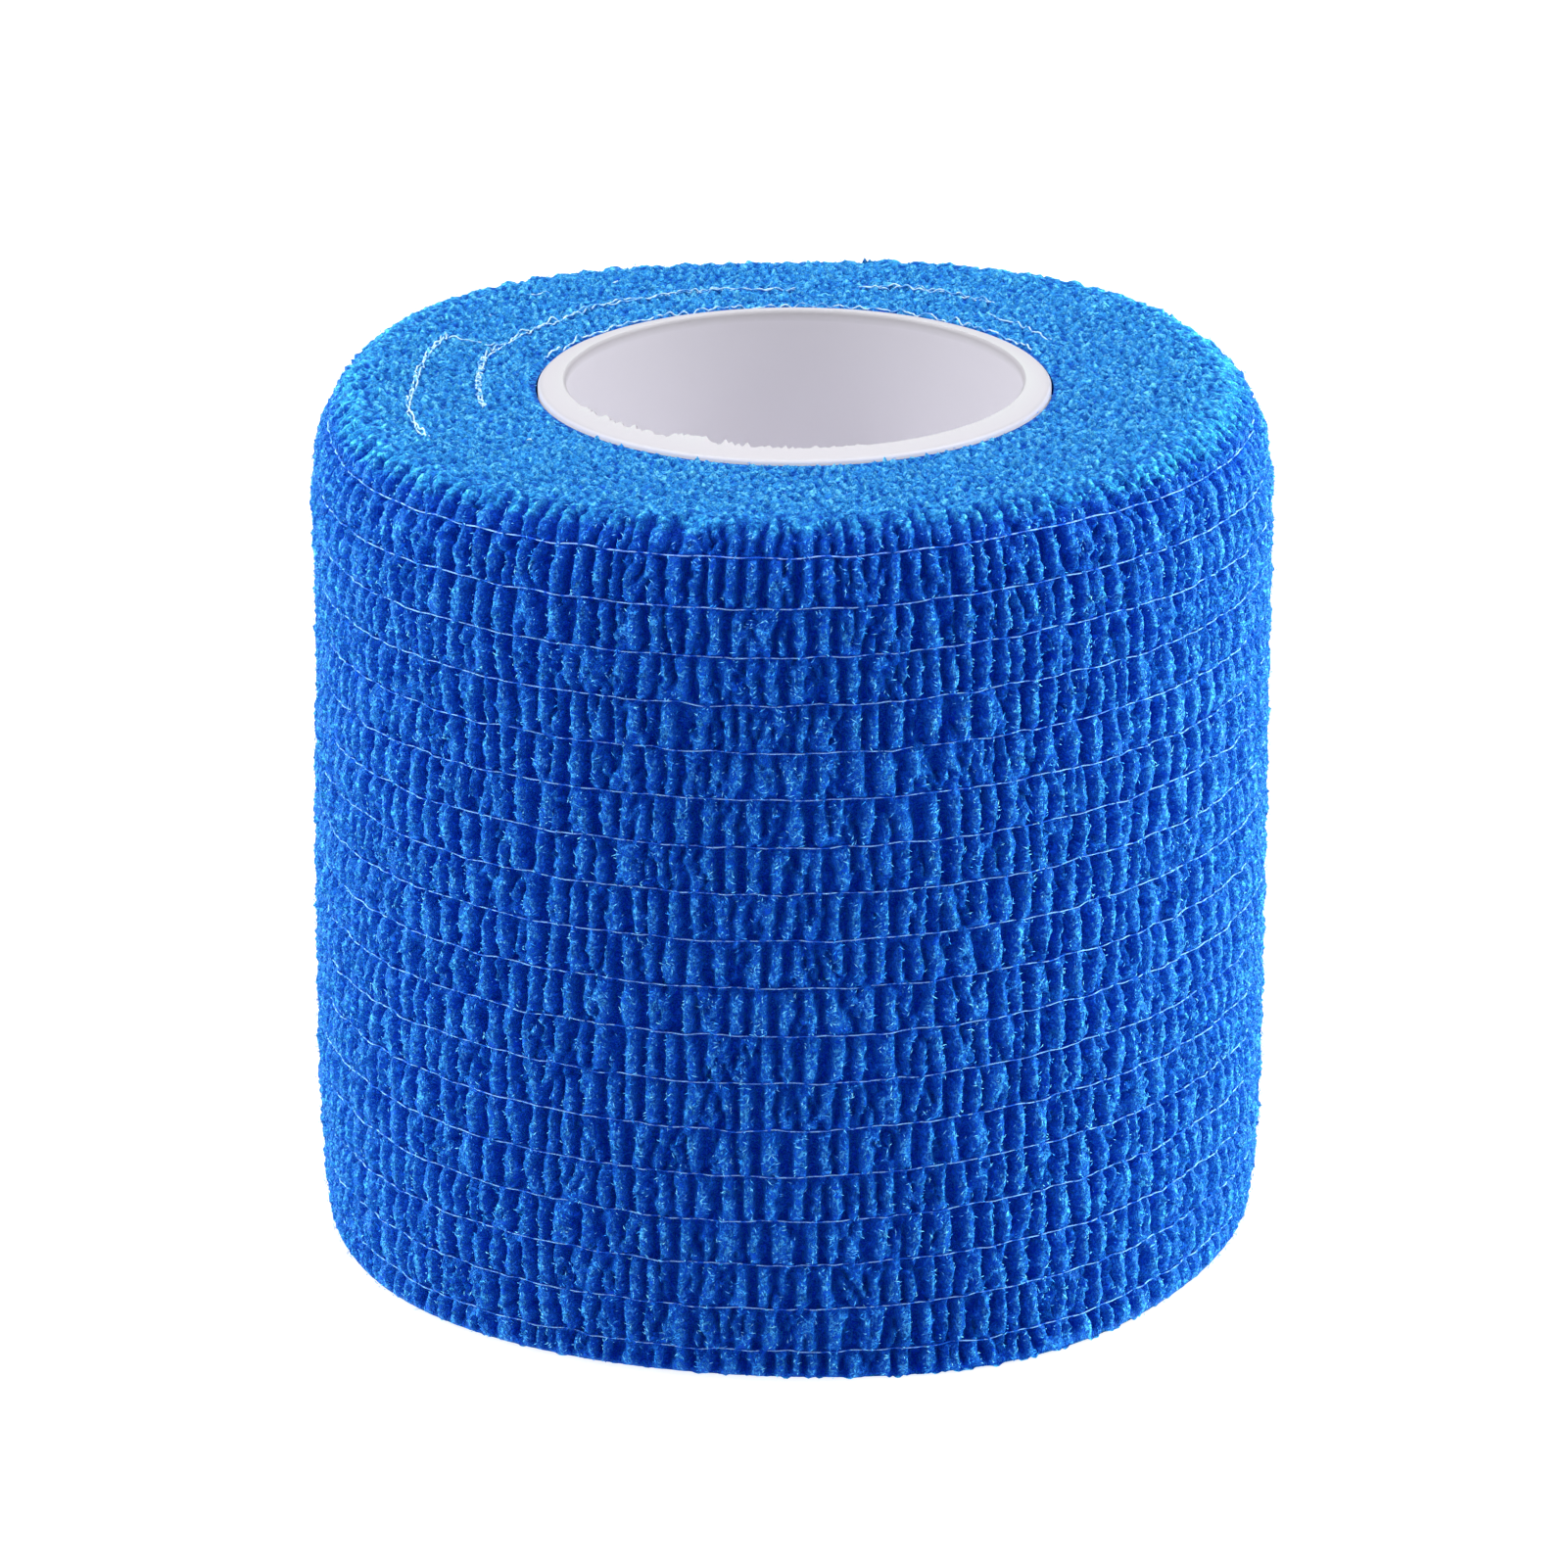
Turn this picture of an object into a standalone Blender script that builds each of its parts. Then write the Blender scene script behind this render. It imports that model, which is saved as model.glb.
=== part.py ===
"""Roll of crinkled cohesive sports tape on its plastic core tube, at real size.

The tape is one elastic strip wound in a spiral around a short tube. Elastic threads
run along the strip at an even pitch and pinch it, so that the cloth stands out as a
soft rib between each two threads. The roll stands on one end. Lengths are in
millimetres here and become metres when a mesh is made.
"""

from dataclasses import dataclass
from math import cos, pi, radians, sin, tau

import bmesh
import bpy

MM = 0.001

# Driving dimensions of the tape
TAPE_WIDTH = 50.0
TAPE_RADIUS = 27.74
THREAD_COUNT = 18
EDGE_BAND = 1.74
RIB_DEPTH = 0.26
RIB_FULLNESS = 0.6

# Where the outer turn narrows toward each end of the roll
TOP_DRAW_IN = 2.99
TOP_DRAW_IN_SPAN = 6.93
BASE_DRAW_IN = 0.67
BASE_DRAW_IN_SPAN = 13.1
DRAW_IN_POWER = 2.2

# The cut end of the tape, on the outer turn at the back of the roll
CUT_END_ANGLE = 78.0
CUT_END_STEP = 0.5
CUT_END_FACE_ANGLE = 0.8
UNDER_TURN_SPAN = 70.0

# Driving dimensions of the core tube
CORE_OUTER_RADIUS = 14.6
CORE_WALL = 1.6
CORE_OFFSET_X = 0.4
CORE_OFFSET_Y = -0.7
CORE_PROUD = 0.15
CORE_RIM_RISE = 0.25
CORE_CLEARANCE = 0.3

# Mesh steps
COLUMNS = 64
ROWS_PER_BAND = 3


@dataclass(frozen=True)
class Lobe:
    """One wave of the roll's section, which isn't quite round.

    Args:
        count: How many times the wave repeats around the roll.
        cosine: Size of its cosine part, in millimetres.
        sine: Size of its sine part, in millimetres.
    """

    count: int
    cosine: float
    sine: float


SECTION_LOBES = (
    Lobe(count=2, cosine=0.07, sine=0.27),
    Lobe(count=3, cosine=0.09, sine=0.23),
    Lobe(count=4, cosine=-0.39, sine=-0.02),
    Lobe(count=5, cosine=0.12, sine=-0.15),
)


def section_radius(angle: float) -> float:
    """Return the roll's radius at an angle in radians, without ribs or ends."""
    radius = TAPE_RADIUS
    for lobe in SECTION_LOBES:
        radius += lobe.cosine * cos(lobe.count * angle)
        radius += lobe.sine * sin(lobe.count * angle)
    return radius


def under_turn(angle: float) -> float:
    """Return how far the surface lies under the outer turn, past its cut end."""
    past_end = (angle - radians(CUT_END_ANGLE)) % tau
    share = max(0.0, 1.0 - past_end / radians(UNDER_TURN_SPAN))
    return CUT_END_STEP * share * share * (3.0 - 2.0 * share)


def outer_radius(angle: float) -> float:
    """Return the radius of the roll's surface at an angle, without ribs or ends."""
    return section_radius(angle) - under_turn(angle)


def draw_in(height: float) -> float:
    """Return how far the outer turn is drawn in at a height above the base."""
    toward_top = max(0.0, 1.0 - (TAPE_WIDTH - height) / TOP_DRAW_IN_SPAN)
    toward_base = max(0.0, 1.0 - height / BASE_DRAW_IN_SPAN)
    at_top = 1.0 - (1.0 - toward_top**DRAW_IN_POWER) ** 0.5
    at_base = 1.0 - (1.0 - toward_base**DRAW_IN_POWER) ** 0.5
    return TOP_DRAW_IN * at_top + BASE_DRAW_IN * at_base


def thread_heights() -> list[float]:
    """Return the heights of the elastic threads, from the base up."""
    pitch = (TAPE_WIDTH - 2.0 * EDGE_BAND) / (THREAD_COUNT - 1)
    return [EDGE_BAND + pitch * thread for thread in range(THREAD_COUNT)]


def tape_rows() -> list[tuple[float, float]]:
    """Return each row's height and how far it stands out as a rib.

    Returns:
        Pairs of height and rib, in millimetres, from the base to the top. A row on a
        thread has no rib, and the rows between two threads follow a full round rib.
    """
    marks = [0.0, *thread_heights(), TAPE_WIDTH]
    rows = [(0.0, 0.0)]
    for low, high in zip(marks, marks[1:]):
        for step in range(1, ROWS_PER_BAND + 1):
            share = step / ROWS_PER_BAND
            rib = RIB_DEPTH * max(0.0, sin(pi * share)) ** RIB_FULLNESS
            rows.append((low + (high - low) * share, rib))
    return rows


def tape_angles() -> list[float]:
    """Return the columns' angles, with the cut end's face between last and first."""
    span = tau - radians(CUT_END_FACE_ANGLE)
    start = radians(CUT_END_ANGLE)
    return [start + span * column / (COLUMNS - 1) for column in range(COLUMNS)]


def footprint_centre() -> tuple[float, float]:
    """Return the middle of the box around the widest outline of the roll."""
    xs = [outer_radius(angle) * cos(angle) for angle in tape_angles()]
    ys = [outer_radius(angle) * sin(angle) for angle in tape_angles()]
    return (min(xs) + max(xs)) / 2.0, (min(ys) + max(ys)) / 2.0


def add_ring(
    mesh: bmesh.types.BMesh,
    angles: list[float],
    radii: list[float],
    centre: tuple[float, float],
    height: float,
) -> list[bmesh.types.BMVert]:
    """Add one ring of points around an upright axis.

    Args:
        mesh: The mesh to add to.
        angles: Angle of each point, in radians.
        radii: Distance of each point from the axis, in millimetres.
        centre: Where the axis stands, in millimetres.
        height: Height of the ring, in millimetres.

    Returns:
        The new points, in the order of the angles.
    """
    ring = []
    for angle, radius in zip(angles, radii):
        x = centre[0] + radius * cos(angle)
        y = centre[1] + radius * sin(angle)
        ring.append(mesh.verts.new((x * MM, y * MM, height * MM)))
    return ring


def join_rings(
    mesh: bmesh.types.BMesh,
    rings: list[list[bmesh.types.BMVert]],
) -> None:
    """Join rings into a closed tube, the last ring back to the first.

    Args:
        mesh: The mesh that holds the rings.
        rings: Rings of equal length, down the bore and up the outside.
    """
    for ring, following in zip(rings, rings[1:] + rings[:1]):
        for index in range(len(ring)):
            after = (index + 1) % len(ring)
            mesh.faces.new((ring[index], ring[after], following[after], following[index]))
    bmesh.ops.triangulate(mesh, faces=mesh.faces)


def new_material(
    name: str,
    colour: tuple[float, float, float],
    roughness: float,
) -> bpy.types.Material:
    """Return a plain material.

    Args:
        name: Its name.
        colour: Linear red, green and blue.
        roughness: From 0, glossy, to 1, dull.

    Returns:
        The new material.
    """
    material = bpy.data.materials.new(name)
    material.use_nodes = True
    surface = material.node_tree.nodes["Principled BSDF"]
    surface.inputs["Base Color"].default_value = (*colour, 1.0)
    surface.inputs["Roughness"].default_value = roughness
    surface.inputs["Metallic"].default_value = 0.0
    material.diffuse_color = (*colour, 1.0)
    return material


def new_piece(
    name: str,
    mesh: bmesh.types.BMesh,
    material: bpy.types.Material,
    sharp_angle: float,
) -> bpy.types.Object:
    """Turn a mesh into a named piece with a smooth finish.

    Args:
        name: The piece's name.
        mesh: Its mesh, which is freed.
        material: Its material.
        sharp_angle: Edges that turn more than this, in degrees, stay sharp.

    Returns:
        The new object.
    """
    data = bpy.data.meshes.new(name)
    mesh.to_mesh(data)
    mesh.free()
    data.materials.append(material)
    data.shade_smooth()
    data.set_sharp_from_angle(angle=radians(sharp_angle))
    piece = bpy.data.objects.new(name, data)
    bpy.context.scene.collection.objects.link(piece)
    return piece


def build_wound_tape(centre: tuple[float, float]) -> bpy.types.Object:
    """Build the wound strip as one solid, ribbed between its elastic threads.

    Args:
        centre: Where the roll's axis stands, in millimetres.

    Returns:
        The tape's object.
    """
    mesh = bmesh.new()
    angles = tape_angles()
    core = (centre[0] + CORE_OFFSET_X, centre[1] + CORE_OFFSET_Y)
    bore = [CORE_OUTER_RADIUS + CORE_CLEARANCE] * COLUMNS
    rings = [
        add_ring(mesh, angles, bore, core, TAPE_WIDTH),
        add_ring(mesh, angles, bore, core, 0.0),
    ]
    for height, rib in tape_rows():
        outside = [outer_radius(angle) - draw_in(height) + rib for angle in angles]
        rings.append(add_ring(mesh, angles, outside, centre, height))
    join_rings(mesh, rings)
    cloth = new_material("crinkled_blue_cloth", (0.01, 0.10, 0.46), 0.9)
    return new_piece("wound_tape", mesh, cloth, sharp_angle=50.0)


def build_core_tube(centre: tuple[float, float]) -> bpy.types.Object:
    """Build the plastic tube that the tape is wound on.

    Args:
        centre: Where the roll's axis stands, in millimetres.

    Returns:
        The tube's object.
    """
    mesh = bmesh.new()
    angles = [tau * column / COLUMNS for column in range(COLUMNS)]
    core = (centre[0] + CORE_OFFSET_X, centre[1] + CORE_OFFSET_Y)
    outer_top = TAPE_WIDTH + CORE_PROUD
    inner_radius = CORE_OUTER_RADIUS - CORE_WALL
    corners = (
        (inner_radius, outer_top + CORE_RIM_RISE),
        (inner_radius, 0.0),
        (CORE_OUTER_RADIUS, 0.0),
        (CORE_OUTER_RADIUS, outer_top),
    )
    rings = [
        add_ring(mesh, angles, [radius] * COLUMNS, core, height) for radius, height in corners
    ]
    join_rings(mesh, rings)
    plastic = new_material("extruded_white_plastic", (0.80, 0.79, 0.84), 0.45)
    return new_piece("core_tube", mesh, plastic, sharp_angle=40.0)


def main() -> None:
    """Clear the scene and build the roll with its base's middle at the origin."""
    for existing in list(bpy.data.objects):
        bpy.data.objects.remove(existing)
    middle = footprint_centre()
    axis = (-middle[0], -middle[1])
    build_wound_tape(axis)
    build_core_tube(axis)


main()
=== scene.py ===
"""Looks of a roll of crinkled cohesive sports tape that stands on one end.

The roll is one elastic strip of blue nonwoven cloth, wound on a white plastic tube.
Elastic threads pinch the strip at an even pitch, and between them the cloth stands up
in soft pleats. Lengths are in millimetres, and become metres when a mesh is made.
"""

import logging
from dataclasses import dataclass, field
from enum import Enum
from math import cos, pi, radians, sin, tau

import bpy
import numpy as np
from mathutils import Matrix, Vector


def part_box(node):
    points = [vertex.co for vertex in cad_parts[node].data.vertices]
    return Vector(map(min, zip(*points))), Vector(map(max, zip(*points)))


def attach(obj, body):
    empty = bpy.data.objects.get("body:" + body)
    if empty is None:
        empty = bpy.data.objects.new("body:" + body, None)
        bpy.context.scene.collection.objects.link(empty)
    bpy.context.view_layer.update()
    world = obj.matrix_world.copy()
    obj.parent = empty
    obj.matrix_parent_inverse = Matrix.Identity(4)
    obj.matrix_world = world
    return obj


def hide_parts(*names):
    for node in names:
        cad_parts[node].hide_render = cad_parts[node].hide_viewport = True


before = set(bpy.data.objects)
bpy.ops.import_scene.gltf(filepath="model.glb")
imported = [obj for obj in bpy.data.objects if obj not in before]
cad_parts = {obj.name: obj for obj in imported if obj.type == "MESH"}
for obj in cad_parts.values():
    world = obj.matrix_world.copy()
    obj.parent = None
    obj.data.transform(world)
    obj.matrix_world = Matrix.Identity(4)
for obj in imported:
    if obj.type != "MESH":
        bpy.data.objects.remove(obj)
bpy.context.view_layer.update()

MM = 0.001
ROOT = "root"
log = logging.getLogger("tape_roll")


def linear(code: str) -> tuple[float, float, float, float]:
    """Turn an sRGB hex colour into linear red, green, blue and alpha.

    Args:
        code: The colour as "#rrggbb".

    Returns:
        The linear colour, with an alpha of 1.
    """
    channels = [int(code[at : at + 2], 16) / 255.0 for at in (1, 3, 5)]
    curve = [c / 12.92 if c <= 0.04045 else ((c + 0.055) / 1.055) ** 2.4 for c in channels]
    return (curve[0], curve[1], curve[2], 1.0)


def smooth_step(low: float, high: float, value: np.ndarray) -> np.ndarray:
    """Rise smoothly from 0 at low to 1 at high.

    Args:
        low: Where the rise starts.
        high: Where it ends.
        value: Where to read it.

    Returns:
        The share of the rise at each value.
    """
    share = np.clip((value - low) / (high - low), 0.0, 1.0)
    return share * share * (3.0 - 2.0 * share)


def ring_noise(random: np.random.Generator, count: int, waves: int) -> np.ndarray:
    """Return soft noise that repeats after count values.

    Args:
        random: The source of the draws.
        count: How many values.
        waves: The highest number of waves around the roll.

    Returns:
        The noise, with a spread of 1.
    """
    spectrum = np.zeros(count // 2 + 1, dtype=complex)
    spectrum[1 : waves + 1] = random.standard_normal(waves) + 1j * random.standard_normal(waves)
    noise = np.fft.irfft(spectrum, n=count)
    return noise / noise.std()


def add_node(
    tree: bpy.types.NodeTree,
    kind: str,
    inputs: dict[int | str, object] | None = None,
    **settings: object,
) -> bpy.types.Node:
    """Add a shader node with its settings and links.

    Args:
        tree: The node tree to add to.
        kind: The node's type name.
        inputs: Value of each input, by name or number; a socket is linked.
        **settings: Properties of the node itself.

    Returns:
        The new node.
    """
    node = tree.nodes.new(kind)
    for name, value in settings.items():
        setattr(node, name, value)
    for key, value in (inputs or {}).items():
        if isinstance(value, bpy.types.NodeSocket):
            tree.links.new(value, node.inputs[key])
        else:
            node.inputs[key].default_value = value
    return node


def new_surface(name: str) -> tuple[bpy.types.Material, bpy.types.NodeTree, bpy.types.Node]:
    """Make a material whose only nodes are its surface and output.

    Args:
        name: The material's name.

    Returns:
        The material, its node tree and its surface node.
    """
    material = bpy.data.materials.new(name)
    material.use_nodes = True
    tree = material.node_tree
    return material, tree, tree.nodes["Principled BSDF"]


def add_mesh(
    name: str,
    points: np.ndarray,
    faces: np.ndarray,
    marks: dict[str, np.ndarray] | None = None,
) -> bpy.types.Object:
    """Make a smooth-shaded mesh object.

    Args:
        name: The object's name.
        points: One row for each point, in millimetres.
        faces: One row for each face, all of three or all of four corners.
        marks: Values that its finish reads, by name, with one for each point.

    Returns:
        The new object.
    """
    corners = faces.shape[1]
    mesh = bpy.data.meshes.new(name)
    mesh.vertices.add(len(points))
    mesh.vertices.foreach_set("co", (points * MM).astype(np.float32).ravel())
    mesh.loops.add(faces.size)
    mesh.loops.foreach_set("vertex_index", faces.astype(np.int32).ravel())
    mesh.polygons.add(len(faces))
    starts = np.arange(0, faces.size, corners, dtype=np.int32)
    mesh.polygons.foreach_set("loop_start", starts)
    mesh.update(calc_edges=True)
    mesh.shade_smooth()
    for mark, values in (marks or {}).items():
        attribute = mesh.attributes.new(mark, "FLOAT", "POINT")
        attribute.data.foreach_set("value", values.astype(np.float32).ravel())
    piece = bpy.data.objects.new(name, mesh)
    bpy.context.scene.collection.objects.link(piece)
    return piece


def ring_faces(rows: int, columns: int) -> np.ndarray:
    """Return the faces of a grid whose last column joins its first.

    Args:
        rows: Rows of points.
        columns: Points in each row.

    Returns:
        Four point numbers for each face.
    """
    start = np.arange(rows - 1)[:, None] * columns
    here = np.arange(columns)[None, :]
    after = (here + 1) % columns
    quads = np.stack(
        [start + here, start + after, start + columns + after, start + columns + here], axis=-1
    )
    return quads.reshape(-1, 4)


def tube_mesh(
    path: np.ndarray, radius: float, sides: int, closed: bool
) -> tuple[np.ndarray, np.ndarray]:
    """Work out a thin tube along a path.

    Args:
        path: Points of its centre line, in millimetres.
        radius: Its radius, in millimetres.
        sides: Sides of its section.
        closed: Whether its end joins its start.

    Returns:
        Its points and its faces of four corners. An open tube narrows to a point.
    """
    ahead = np.roll(path, -1, axis=0) if closed else np.vstack([path[1:], path[-1:]])
    behind = np.roll(path, 1, axis=0) if closed else np.vstack([path[:1], path[:-1]])
    along = ahead - behind
    along /= np.linalg.norm(along, axis=1, keepdims=True) + 1e-12
    upright = np.tile(np.array([[0.02, 0.03, 1.0]]), (len(path), 1))
    across = np.cross(along, upright)
    across /= np.linalg.norm(across, axis=1, keepdims=True) + 1e-12
    over = np.cross(across, along)
    turn = (np.arange(sides) * tau / sides)[None, :, None]
    thickness = np.full(len(path), radius)
    if not closed:
        thickness[[0, -1]] = radius * 0.1
    section = across[:, None] * np.cos(turn) + over[:, None] * np.sin(turn)
    points = path[:, None] + section * thickness[:, None, None]
    faces = ring_faces(len(path), sides)
    if closed:
        last = (len(path) - 1) * sides
        here = np.arange(sides)
        after = (here + 1) % sides
        faces = np.vstack([faces, np.stack([last + here, last + after, after, here], axis=-1)])
    return points.reshape(-1, 3), faces


def join_parts(parts: list[tuple[np.ndarray, np.ndarray]]) -> tuple[np.ndarray, np.ndarray]:
    """Join several meshes' points and faces into one.

    Args:
        parts: Points and faces of each.

    Returns:
        All the points, and all the faces with their numbers moved up.
    """
    points = np.vstack([part[0] for part in parts])
    sizes = np.cumsum([0] + [len(part[0]) for part in parts[:-1]])
    faces = np.vstack([part[1] + size for part, size in zip(parts, sizes)])
    return points, faces


@dataclass(frozen=True)
class Lobe:
    """One wave of the roll's section, which isn't quite round.

    Args:
        count: How many times the wave repeats around the roll.
        cosine: Size of its cosine part, in millimetres.
        sine: Size of its sine part, in millimetres.
    """

    count: int
    cosine: float
    sine: float


@dataclass(frozen=True)
class Swell:
    """A place where the wound strip lies a little high or low.

    Args:
        height: Height of its middle, in millimetres.
        reach: How far it reaches up and down, in millimetres.
        angle: Where its middle is around the roll, in degrees.
        width: How far it reaches sideways, in degrees.
        lift: How far the strip is lifted there, in millimetres.
    """

    height: float
    reach: float
    angle: float
    width: float
    lift: float

    def lift_at(self, heights: np.ndarray, angles: np.ndarray) -> np.ndarray:
        """Return the lift at heights in millimetres and angles in radians."""
        upward = (heights - self.height) / self.reach
        sideways = (np.degrees(angles) - self.angle) / self.width
        return self.lift * np.exp(-(upward**2) - sideways**2)


@dataclass(frozen=True)
class RollForm:
    """The roll's smooth form, on which every pleat and thread stands."""

    width: float = 50.0
    radius: float = 27.74
    lobes: tuple[Lobe, ...] = (
        Lobe(count=2, cosine=0.07, sine=0.27),
        Lobe(count=3, cosine=0.09, sine=0.23),
        Lobe(count=4, cosine=-0.39, sine=-0.02),
        Lobe(count=5, cosine=0.12, sine=-0.15),
    )
    thread_count: int = 18
    edge_band: float = 1.74
    # Where the outer turn narrows toward each end of the roll
    top_draw_in: float = 2.99
    top_draw_in_span: float = 6.93
    base_draw_in: float = 0.85
    base_draw_in_span: float = 13.1
    base_splay: float = 1.5
    base_splay_angle: float = 298.0
    base_splay_width: float = 24.0
    draw_in_power: float = 2.2
    # A soft dent in the left side
    dent: float = 0.33
    dent_angle: float = 184.0
    dent_width: float = 24.0
    dent_height: float = 37.0
    dent_reach: float = 10.0
    # Height of the outer turn's upper edge
    outer_edge_front: float = 49.75
    outer_edge_side: float = 49.45
    # The strip's cut end, at the back
    cut_end_angle: float = 78.0
    cut_end_step: float = 0.5
    cut_end_face: float = 0.35
    under_turn_span: float = 70.0
    # The core in the middle
    core_radius: float = 14.6
    core_offset: tuple[float, float] = (0.4, -0.7)
    bore_gap: float = 0.12
    # Where the strip lies high or low, which bends the lines of its threads
    swells: tuple[Swell, ...] = (
        Swell(height=13.0, reach=9.0, angle=268.0, width=28.0, lift=-0.36),
        Swell(height=47.0, reach=8.0, angle=303.0, width=20.0, lift=0.34),
        Swell(height=3.0, reach=11.0, angle=210.0, width=11.0, lift=0.3),
        Swell(height=8.0, reach=10.0, angle=331.0, width=11.0, lift=0.19),
        Swell(height=47.0, reach=6.0, angle=211.0, width=12.0, lift=-0.17),
    )

    def core_centre(self) -> np.ndarray:
        """Return where the core's axis stands, read from the frame."""
        low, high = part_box("core_tube")
        middle = (low + high) / 2.0
        return np.array([middle.x, middle.y]) / MM

    def axis(self) -> np.ndarray:
        """Return where the roll's own axis stands."""
        return self.core_centre() - np.array(self.core_offset)

    def face_reach(self) -> float:
        """Return how wide the ring of the upper end is, from the core to its rim."""
        return self.radius - self.top_draw_in - self.core_radius

    def thread_heights(self) -> np.ndarray:
        """Return the heights of the elastic threads, from the base up."""
        return np.linspace(self.edge_band, self.width - self.edge_band, self.thread_count)

    def section(self, angles: np.ndarray) -> np.ndarray:
        """Return the roll's radius at each angle, in radians, without ends or cut end."""
        radius = np.full(angles.shape, self.radius)
        for lobe in self.lobes:
            radius += lobe.cosine * np.cos(lobe.count * angles)
            radius += lobe.sine * np.sin(lobe.count * angles)
        return radius

    def base_inset(self, angles: np.ndarray) -> np.ndarray:
        """Return how far the base is drawn in at each angle; it splays at one place."""
        past = (np.degrees(angles) - self.base_splay_angle) / self.base_splay_width
        return self.base_draw_in - self.base_splay * np.exp(-(past**2))

    def draw_in(self, heights: np.ndarray, base_inset: np.ndarray | float) -> np.ndarray:
        """Return how far the outer turn is drawn in at each height.

        Args:
            heights: Heights above the base, in millimetres.
            base_inset: How far it is drawn in at the base itself.

        Returns:
            The inset at each height, in millimetres.
        """
        to_top = np.clip(1.0 - (self.width - heights) / self.top_draw_in_span, 0.0, 1.0)
        to_base = np.clip(1.0 - heights / self.base_draw_in_span, 0.0, 1.0)
        at_top = 1.0 - np.sqrt(1.0 - to_top**self.draw_in_power)
        at_base = 1.0 - np.sqrt(1.0 - to_base**self.draw_in_power)
        return self.top_draw_in * at_top + base_inset * at_base

    def dented(self, heights: np.ndarray, angles: np.ndarray) -> np.ndarray:
        """Return how deep the soft dent in the roll's side is at each place."""
        sideways = (np.degrees(angles) - self.dent_angle) / self.dent_width
        upward = (heights - self.dent_height) / self.dent_reach
        return self.dent * np.exp(-(sideways**2) - upward**2)

    def outer_edge(self, angles: np.ndarray) -> np.ndarray:
        """Return the height of the outer turn's upper edge at each angle."""
        past_front = np.abs((np.degrees(angles) - 270.0 + 180.0) % 360.0 - 180.0)
        drop = self.outer_edge_front - self.outer_edge_side
        return self.outer_edge_front - drop * smooth_step(20.0, 70.0, past_front)

    def thread_drift(self, heights: np.ndarray, angles: np.ndarray) -> np.ndarray:
        """Return how far the strip wanders up or down over the roll.

        Args:
            heights: Heights above the base, in millimetres.
            angles: Angles around the roll, in radians.

        Returns:
            The drift in millimetres, which is nothing at both ends.
        """
        drift = sum(swell.lift_at(heights, angles) for swell in self.swells)
        to_end = np.minimum(heights, self.width - heights)
        return drift * np.clip(to_end / self.edge_band, 0.0, 1.0)

    def past_cut(self, angles: np.ndarray, ragged: np.ndarray) -> np.ndarray:
        """Return how far past the cut end of the strip each point lies.

        Args:
            angles: Angle of each point, in radians.
            ragged: How far the cut wanders at each point, in millimetres.

        Returns:
            The distance around the roll in millimetres, below 0 on the outer turn.
        """
        return ((angles - radians(self.cut_end_angle) + pi) % tau - pi) * self.radius + ragged

    def under_turn(self, past_cut: np.ndarray) -> np.ndarray:
        """Return how far the surface lies under the outer turn, past its cut end."""
        drop = smooth_step(-self.cut_end_face / 2.0, self.cut_end_face / 2.0, past_cut)
        rise = 1.0 - smooth_step(0.0, radians(self.under_turn_span) * self.radius, past_cut)
        return self.cut_end_step * drop * rise


class Zone(Enum):
    """Which stretch of the cloth a row of points belongs to."""

    UPPER_FACE = "tape_upper_face"
    UPPER = "tape_upper_bands"
    MIDDLE = "tape_middle_bands"
    LOWER = "tape_lower_bands"
    LOWER_FACE = "tape_lower_face"


@dataclass(frozen=True)
class Row:
    """One row of points around the roll.

    Args:
        share: From 0 at the core to 1 at the outer turn.
        height: Its height.
        band: Number of its band between threads, counted from the top.
        across: How far it is across its band, from 0 to 1.
        length: Length of cloth from this row to the next.
    """

    share: float
    height: float
    band: int
    across: float
    length: float


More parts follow.
